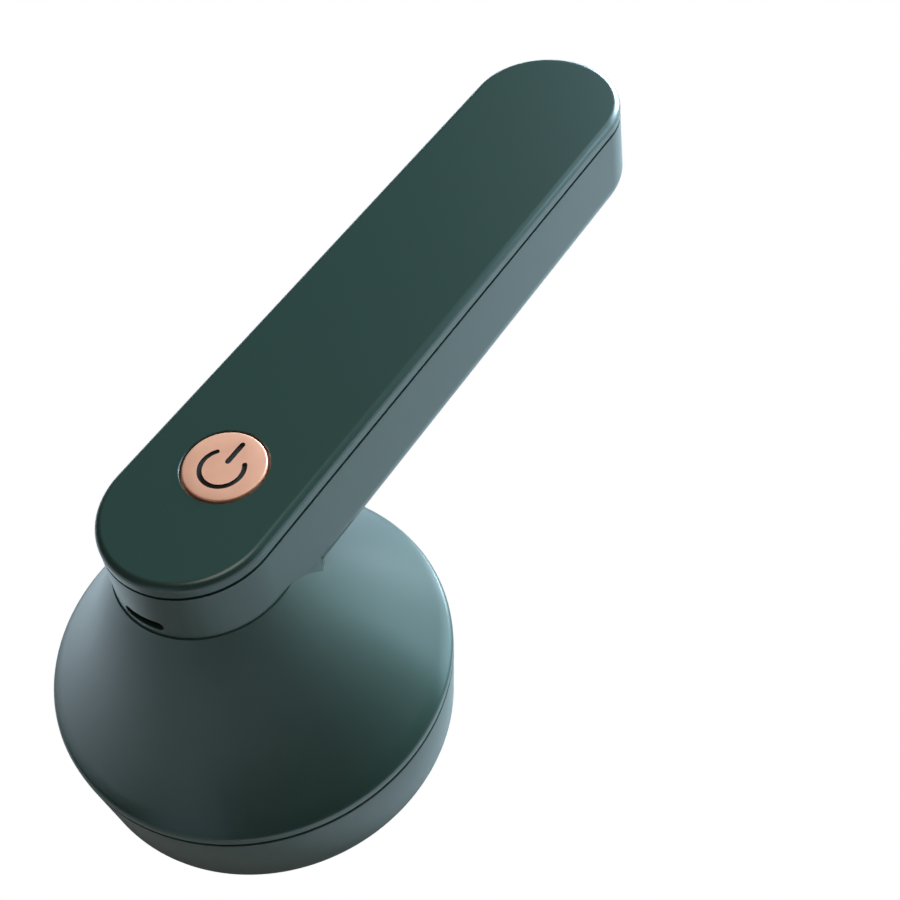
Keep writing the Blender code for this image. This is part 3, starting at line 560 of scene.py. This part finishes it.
def make_stage():
    world = bpy.data.worlds.new("studio")
    bpy.context.scene.world = world
    world.use_nodes = True
    backdrop = world.node_tree.nodes["Background"]
    backdrop.inputs["Color"].default_value = (0.86, 0.93, 1.0, 1.0)
    backdrop.inputs["Strength"].default_value = WORLD_STRENGTH
    make_floor()
    make_cove()
    for name, azimuth, elevation, power, colour in LAMPS:
        lamp(name, azimuth, elevation, power, colour)
    bpy.context.scene.view_settings.view_transform = "Standard"


# ---- shells ----------------------------------------------------------------------------


def flare(bm):
    """The housing's moulding draft: it widens as it gets deeper."""
    for vert in bm.verts:
        middle = min(max(vert.co.x, NOSE_X), TAIL_X)
        scale = 1 + DRAFT * (COVER_BOTTOM - vert.co.z) / HALF_WIDTH
        vert.co.x = middle + (vert.co.x - middle) * scale
        vert.co.y *= scale
    return bm


def bar_ring(bm, inset, z):
    """One ring of the handle's outline, drawn in by an inset."""
    return ring_of(bm, stadium(NOSE_X, TAIL_X, HALF_WIDTH - inset), z)


def cover_skin():
    """The cover: a rounded edge, the button's hole, and a lip that stands in the housing."""
    corner = 0.15 * MM
    steps = 10
    rings = [(corner, COVER_BOTTOM), (0.0, COVER_BOTTOM + corner)]
    for i in range(steps + 1):
        angle = math.radians(90 * i / steps)
        rings.append((COVER_EDGE * (1 - math.cos(angle)), TOP - COVER_EDGE * (1 - math.sin(angle))))
    bm = bmesh.new()
    outside = [bar_ring(bm, inset, z) for inset, z in rings]
    lip_inset = WALL + 0.3 * MM
    lip_low = COVER_BOTTOM - 1.5 * MM
    inside_inset = lip_inset + 1.0 * MM
    inside = [
        (lip_inset, COVER_BOTTOM),
        (lip_inset, lip_low),
        (inside_inset, lip_low),
        (inside_inset, COVER_UNDER),
    ]
    inner_rings = [bar_ring(bm, inset, z) for inset, z in inside]
    skin(bm, inner_rings[::-1] + outside)
    hole = [
        (BUTTON_HOLE + 0.12 * MM, TOP),
        (BUTTON_HOLE, TOP - 0.12 * MM),
        (BUTTON_HOLE, COVER_UNDER),
    ]
    bore = [ring_of(bm, circle((BUTTON_X, 0), radius, 96), z) for radius, z in hole]
    skin(bm, bore)
    fill(bm, outside[-1], bore[0])
    fill(bm, inner_rings[-1], bore[-1])
    flat_normals(new_piece("cover_plate", bm, GREEN, "handle", ["handle_top_cover"]))


def rounded_bar(half_width, bottom, top, fillet, steps, count=40):
    """A bar with half-round ends and a rounded lower edge."""
    bm = bmesh.new()
    rings = []
    for i in range(steps + 1):
        angle = math.radians(90 * i / steps)
        inset = fillet * (1 - math.sin(angle))
        rings.append(ring_of(
            bm, stadium(NOSE_X, TAIL_X, half_width - inset, count), bottom + fillet * (1 - math.cos(angle))
        ))
    rings.append(ring_of(bm, stadium(NOSE_X, TAIL_X, half_width, count), top))
    skin(bm, rings)
    bm.faces.new(rings[0])
    bm.faces.new(rings[-1])
    return flare(bm)


def housing_skin():
    """The deep half of the handle, open at the charging slot, with the head's cone just let into it."""
    edge = 0.18 * MM
    outer = rounded_bar(HALF_WIDTH, HOUSING_BOTTOM, HOUSING_TOP, HOUSING_FILLET, 12)
    neck = extruded(circle((0, 0), NECK_RADIUS, 96), HOUSING_BOTTOM - 4 * MM, 53 * MM)
    inset_outline = stadium(NOSE_X, TAIL_X, HALF_WIDTH - 0.02 * MM, 40)
    footprint = flare(extruded(inset_outline, HOUSING_BOTTOM - 5 * MM, 54 * MM))
    neck = cut_bmesh(neck, [footprint], "INTERSECT")
    shell = cut_bmesh(outer, [neck], "UNION")
    cavity = rounded_bar(
        HALF_WIDTH - WALL, HOUSING_BOTTOM + WALL, HOUSING_TOP + MM, HOUSING_FILLET - WALL, 6
    )
    overlap = 0.05 * MM
    under = flank(-overlap)
    profile = [(0, under[-1][1] - overlap), (under[-1][0], under[-1][1] - overlap)]
    profile += under[::-1] + [(0, under[0][1])]
    cone = lean(turned(profile, 128))
    lying = Matrix.Translation((NOSE_X - HALF_WIDTH + MM, 0, PORT_Z))
    lying = lying @ Matrix.Rotation(math.pi / 2, 4, "Z") @ Matrix.Rotation(math.pi / 2, 4, "X")
    slot_outline = stadium(-SLOT_HALF[0] + SLOT_HALF[1], SLOT_HALF[0] - SLOT_HALF[1], SLOT_HALF[1], 16)
    slot = extruded(slot_outline, -4 * MM, 4 * MM, lying)
    shell = cut_bmesh(shell, [cavity, cone, slot])
    piece = new_piece("housing_shell", shell, GREEN, "handle", ["handle_housing"])
    bevel = piece.modifiers.new("edge", "BEVEL")
    bevel.width = edge
    bevel.segments = 2
    bevel.limit_method = "ANGLE"
    bevel.angle_limit = math.radians(40)
    flat_normals(piece)


def neck_web():
    """The floor of the handle over the head's roof."""
    middle = NOSE_X + 8 * MM
    outline = stadium(middle, middle + 0.1 * MM, HALF_WIDTH - WALL - 0.2 * MM, 24)
    web = extruded(outline, HEAD_TOP + 0.4 * MM, HEAD_TOP + 1.9 * MM)
    new_piece("neck_web", web, GREEN, "handle")


def head_skin():
    """The conical shell: rim lip with small fillets, hollow flank and flat roof."""
    roof_bottom = HEAD_TOP - ROOF
    inner_rim = RIM_RADIUS - 1.7 * MM
    roof_radius = FLANK_TOP[0] + 0.7 * MM - SHELL_WALL
    corner = 0.12 * MM
    profile = [(0, HEAD_TOP)] + flank()[::-1] + rim_corner(6)
    profile += [(RIM_RADIUS, RIM_BOTTOM + corner), (RIM_RADIUS - corner, RIM_BOTTOM)]
    profile += [(inner_rim, RIM_BOTTOM), (inner_rim, RIM_TOP - 0.6 * MM)]
    profile += [(r, z) for r, z in flank(-SHELL_WALL) if FLANK_FOOT[1] + MM < z < roof_bottom - MM]
    profile += [(roof_radius, roof_bottom), (0, roof_bottom)]
    bm = lean(turned(profile, 160))
    for azimuth in BOSS_AZIMUTHS:
        a = math.radians(azimuth)
        centre = (BOSS_OUT * math.cos(a), BOSS_OUT * math.sin(a))
        added(bm, extruded(circle(centre, BOSS_RADIUS, 24), *BOSS_Z))
    new_piece("head_cone", bm, GREEN, "handle", ["head_shell"])


def rim_corner(count):
    """The rounded turn from the flank's foot to the rim's upright edge."""
    last = (RIM_RADIUS, RIM_TOP - 0.1 * MM)
    corner = (RIM_RADIUS - 0.02 * MM, RIM_TOP + 0.25 * MM)
    return [bend(FLANK_FOOT, corner, last, i / count) for i in range(1, count + 1)]


def guard_skin():
    """The twist-off ring, with its bayonet lugs and the nibs that hold the foil's retainer."""
    foot = GUARD_FOOT_RADIUS
    seat = FOIL_HIGH.z - FOIL_THICKNESS - 0.3 * MM
    lip = 0.15 * MM
    top = GUARD_TOP - 0.15 * MM
    profile = arc((GUARD_TOP_RADIUS - lip, top - lip), lip, 90, 0, 4)
    profile += arc((foot - GUARD_FILLET, GUARD_FILLET), GUARD_FILLET, 0, -90, 14)
    profile += [
        (FACE_OPENING + 0.4 * MM, 0),
        (FACE_OPENING + 0.12 * MM, 0.12 * MM),
        (FACE_OPENING, 0.4 * MM),
        (FACE_OPENING, seat),
        (foot - GUARD_WALL, seat),
        (GUARD_TOP_RADIUS - GUARD_WALL, top),
    ]
    bm = turned(profile, 160)
    for index in range(3):
        azimuth = 120 * index
        added(bm, sector(*LUG_RADII, *LUG_Z, azimuth - 4, azimuth + 4))
        added(bm, sector(*NIB_RADII, *NIB_Z, azimuth + 50, azimuth + 60))
    new_piece("guard_shell", bm, GREEN, "guard", ["guard_ring"])


# ---- button ----------------------------------------------------------------------------


def stroke_arc(centre, radius, width, start, end, count=40):
    """The outline of a stroke along an arc, with round ends."""
    outer = arc(centre, radius + width / 2, start, end, count)
    inner = arc(centre, radius - width / 2, end, start, count)
    tip = math.radians(end)
    root = math.radians(start)
    tip_centre = (centre[0] + radius * math.cos(tip), centre[1] + radius * math.sin(tip))
    root_centre = (centre[0] + radius * math.cos(root), centre[1] + radius * math.sin(root))
    end_cap = arc(tip_centre, width / 2, end, end + 180, 8)
    start_cap = arc(root_centre, width / 2, start + 180, start + 360, 8)
    return outer[:-1] + end_cap[:-1] + inner[:-1] + start_cap[:-1]


def power_symbol():
    """A generic power sign: an open ring, and a bar towards its opening."""
    ring = stroke_arc((BUTTON_X - 0.6 * MM, 0), 3.5 * MM, 0.8 * MM, 50, 310)
    bar = stadium(BUTTON_X + 0.9 * MM, BUTTON_X + 4.6 * MM, 0.45 * MM, 8)
    return ring, bar


def button_skin():
    """The button: a disc, the flange that holds it under the cover, a stem, and its engraving."""
    bm = bmesh.new()
    under = COVER_UNDER - 0.3 * MM
    flange_radius = 8.2 * MM
    flange_low = under - 0.7 * MM
    stem_radius = 2.2 * MM
    profile = [(BUTTON_RADIUS - 0.42 * MM, BUTTON_TOP), (BUTTON_RADIUS - 0.3 * MM, BUTTON_TOP - 0.02 * MM)]
    profile += arc((BUTTON_RADIUS - 0.25 * MM, BUTTON_TOP - 0.27 * MM), 0.25 * MM, 75, 0, 5)
    profile += [
        (BUTTON_RADIUS, under),
        (flange_radius, under),
        (flange_radius, flange_low),
        (stem_radius, flange_low),
        (stem_radius, BUTTON_LOW.z),
    ]
    loops = [ring_of(bm, circle((BUTTON_X, 0), radius, 96), z) for radius, z in profile]
    skin(bm, loops)
    bm.faces.new(loops[-1])
    tops, floors = [], []
    for outline in power_symbol():
        top = ring_of(bm, outline, BUTTON_TOP)
        floor = ring_of(bm, outline, BUTTON_TOP - ENGRAVING_DEPTH)
        before = set(bm.faces)
        skin(bm, [top, floor])
        for face in set(bm.faces) - before:
            face.material_index = 1
        tops.append(top)
        floors.append(floor)
    fill(bm, loops[0], *tops)
    for floor in floors:
        fill(bm, floor, material=1)
    new_piece("button_disc", bm, [ROSE, ENGRAVING], "button", ["power_button"])


# ---- foil ------------------------------------------------------------------------------


def foil_skin():
    """The perforated dish: the grid of holes, its flat border and its turned rim."""
    bm = bmesh.new()
    border = foil_grid(bm)
    inner_edge = ring_of(bm, circle((0, 0), FOIL_RADIUS - 0.85 * MM, 160), 0)
    made = loop_edges(bm, inner_edge)
    bmesh.ops.triangle_fill(bm, use_beauty=True, use_dissolve=False, edges=border + made)
    wall = [
        (FOIL_RADIUS - 0.25 * MM, 0.3 * MM),
        (FOIL_RADIUS, 0.9 * MM),
        (FOIL_RADIUS, FOIL_HIGH.z - FOIL_THICKNESS),
        (FOIL_HIGH.x, FOIL_HIGH.z - FOIL_THICKNESS),
    ]
    skin(bm, [inner_edge] + [ring_of(bm, circle((0, 0), radius, 160), z) for radius, z in wall])
    piece = new_piece("foil_sheet", bm, FOIL, "guard", ["foil_mesh"], 25)
    if piece.data.polygons[0].normal.z > 0:
        piece.data.flip_normals()
    thick = piece.modifiers.new("sheet", "SOLIDIFY")
    thick.thickness = 0.2 * MM
    thick.offset = -1


def foil_grid(bm):
    """Hexagonal cells, each with a hole. Returns the edges round the whole grid."""
    reach = FOIL_RADIUS - 2.2 * MM
    row_step = HOLE_PITCH * math.sqrt(3) / 2
    rows = int(reach / row_step) + 1
    side = HOLE_PITCH / math.sqrt(3)
    grain = 0.01 * MM
    corners = {}

    def corner(x, y):
        key = (round(x / grain), round(y / grain))
        if key not in corners:
            corners[key] = bm.verts.new((x, y, 0))
        return corners[key]

    for row in range(-rows, rows + 1):
        y = row * HOLE_PITCH * math.sqrt(3) / 2
        for column in range(-rows - 1, rows + 2):
            x = (column + (row % 2) / 2) * HOLE_PITCH
            if math.hypot(x, y) > reach:
                continue
            outer, inner = [], []
            for k in range(6):
                a = math.radians(60 * k + 30)
                across, along = math.cos(a), math.sin(a)
                outer.append(corner(x + side * across, y + side * along))
                inner.append(bm.verts.new((x + HOLE_RADIUS * across, y + HOLE_RADIUS * along, 0)))
            for k in range(6):
                bm.faces.new((outer[k], outer[(k + 1) % 6], inner[(k + 1) % 6], inner[k]))
    shared = set(corners.values())
    return [
        edge for edge in bm.edges
        if len(edge.link_faces) == 1 and all(vert in shared for vert in edge.verts)
    ]


# ---- springs, windings and board parts -------------------------------------------------


def coil(name, node, radius, wire, turns, body, material):
    """A finer coil in place of a spring's solid, between the same two faces."""
    low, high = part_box(node)
    centre = (low + high) / 2
    per_turn, around = 32, 8
    total = int(turns * per_turn)
    rise = high.z - low.z - wire
    bm = bmesh.new()
    rings = []
    for i in range(total + 1):
        share = min(max((i / total - 0.12) / 0.76, 0.0), 1.0)
        angle = math.tau * i / per_turn
        out = Vector((math.cos(angle), math.sin(angle), 0))
        middle = Vector((centre.x, centre.y, low.z + wire / 2 + rise * share)) + out * radius
        ring = []
        for k in range(around):
            a = math.tau * k / around
            aside = out * math.cos(a) + Vector((0, 0, math.sin(a)))
            ring.append(bm.verts.new(middle + aside * wire / 2))
        rings.append(ring)
    skin(bm, rings)
    bm.faces.new(rings[0])
    bm.faces.new(rings[-1])
    return new_piece(name, bm, material, body, [node])


def springs():
    """The cutter's spring and the interlock's, as finer coils."""
    cutter = coil("cutter_coil", "cutter_spring", 4.75 * MM, 0.5 * MM, 4, "rotor", STEEL)
    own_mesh(cutter)
    coil("interlock_coil", "interlock_spring", 1.75 * MM, 0.25 * MM, 3, "handle", STEEL)


def winding(name, middle, z):
    """One bundle of wire, thick in its middle and thin at its ends."""
    count, around = 16, 10
    half_angle = 42
    radius, half_width, half_height = 4.9 * MM, 1.0 * MM, 0.32 * MM
    bm = bmesh.new()
    rings = []
    for i in range(count + 1):
        a = middle + math.radians(-half_angle + 2 * half_angle * i / count)
        swell = math.sin(math.pi * i / count) ** 0.5
        out = Vector((math.cos(a), math.sin(a), 0))
        ring = []
        for k in range(around):
            b = math.tau * k / around
            point = out * (radius + half_width * swell * math.cos(b))
            point.z = z + 0.35 * MM + half_height * swell * math.sin(b)
            ring.append(bm.verts.new(point))
        rings.append(ring)
    skin(bm, rings)
    new_piece(name, bm, WINDINGS, "rotor")


def armature_windings():
    """The wire bundles that show at both ends of the armature, one round each pole."""
    low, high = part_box("motor_armature")
    for index in range(3):
        middle = math.radians(120 * index)
        for end, z in (("lower", low.z - 0.75 * MM), ("upper", high.z + 0.1 * MM)):
            winding(f"winding_{end}_{index + 1}", middle, z)


def chip(name, centre, size, material):
    """A small bevelled package standing on the board."""
    bm = bmesh.new()
    bmesh.ops.create_cube(bm, size=1.0)
    bmesh.ops.scale(bm, verts=bm.verts, vec=size)
    bmesh.ops.translate(bm, verts=bm.verts, vec=centre)
    bmesh.ops.bevel(bm, geom=bm.edges[:], offset=0.12 * MM, segments=2, profile=0.5, affect="EDGES")
    new_piece(name, bm, material, "handle")


def board_parts():
    """The board's packages, each by its place, size and material."""
    board_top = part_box("control_board")[1].z + 0.05 * MM
    packages = (
        ("charger_chip", (-5.5, 0.0), (4.0, 4.0, 1.0), DARK),
        ("motor_driver", (15.5, 5.0), (3.0, 3.0, 1.1), DARK),
        ("choke", (-10.0, 3.5), (2.6, 2.6, 1.6), FERRITE),
        ("storage_capacitor", (-10.0, -3.5), (2.0, 3.2, 1.4), BRASS),
        ("sense_resistor", (-5.5, 4.2), (2.0, 1.2, 0.6), DARK),
        ("status_lamp", (-5.5, -4.2), (1.6, 0.8, 0.6), WHITE),
    )
    for name, (x, y), (dx, dy, dz), material in packages:
        chip(name, (x * MM, y * MM, board_top + dz * MM / 2), (dx * MM, dy * MM, dz * MM), material)


# ---- the frame's own nodes -------------------------------------------------------------


NODE_MATERIALS = {
    "handle_top_cover": GREEN, "handle_housing": GREEN, "head_shell": GREEN, "guard_ring": GREEN,
    "power_button": ROSE, "switch_body": DARK, "switch_plunger": WHITE, "control_board": LAMINATE,
    "charge_port_shell": STEEL, "charge_port_tongue": DARK, "battery_cell": SLEEVE,
    "battery_tab_negative": STRIP, "battery_tab_positive": STRIP,
    "battery_lead_red": RED, "motor_lead_red": RED,
    "battery_lead_black": BLACK, "motor_lead_black": BLACK,
    "motor_mount": DARK, "motor_can": STEEL, "motor_end_cap": WHITE, "motor_bushing": BRASS,
    "motor_armature": STEEL, "motor_commutator": COPPER, "motor_shaft": STEEL,
    "drive_hub": DARK, "cutter_spring": STEEL, "blade_carrier": WHITE,
    "foil_mesh": FOIL, "foil_retainer": DARK,
    "interlock_pin": WHITE, "interlock_spring": STEEL, "interlock_switch": DARK,
}


def dress_node(name, obj):
    """Gives a solid of the frame its material, and smooth shading across its facets."""
    material = NODE_MATERIALS.get(name)
    if material is None:
        material = BLADE if "blade" in name else FERRITE if "magnet" in name else STEEL
    obj.data.materials.clear()
    obj.data.materials.append(material)
    obj.data.shade_smooth()
    weld = obj.modifiers.new("weld", "WELD")
    weld.merge_threshold = 1e-6
    split = obj.modifiers.new("sharp edges", "EDGE_SPLIT")
    split.split_angle = math.radians(35)


def main():
    make_camera()
    make_stage()
    for name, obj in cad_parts.items():
        dress_node(name, obj)
    cover_skin()
    housing_skin()
    neck_web()
    head_skin()
    guard_skin()
    button_skin()
    foil_skin()
    springs()
    armature_windings()
    board_parts()


main()
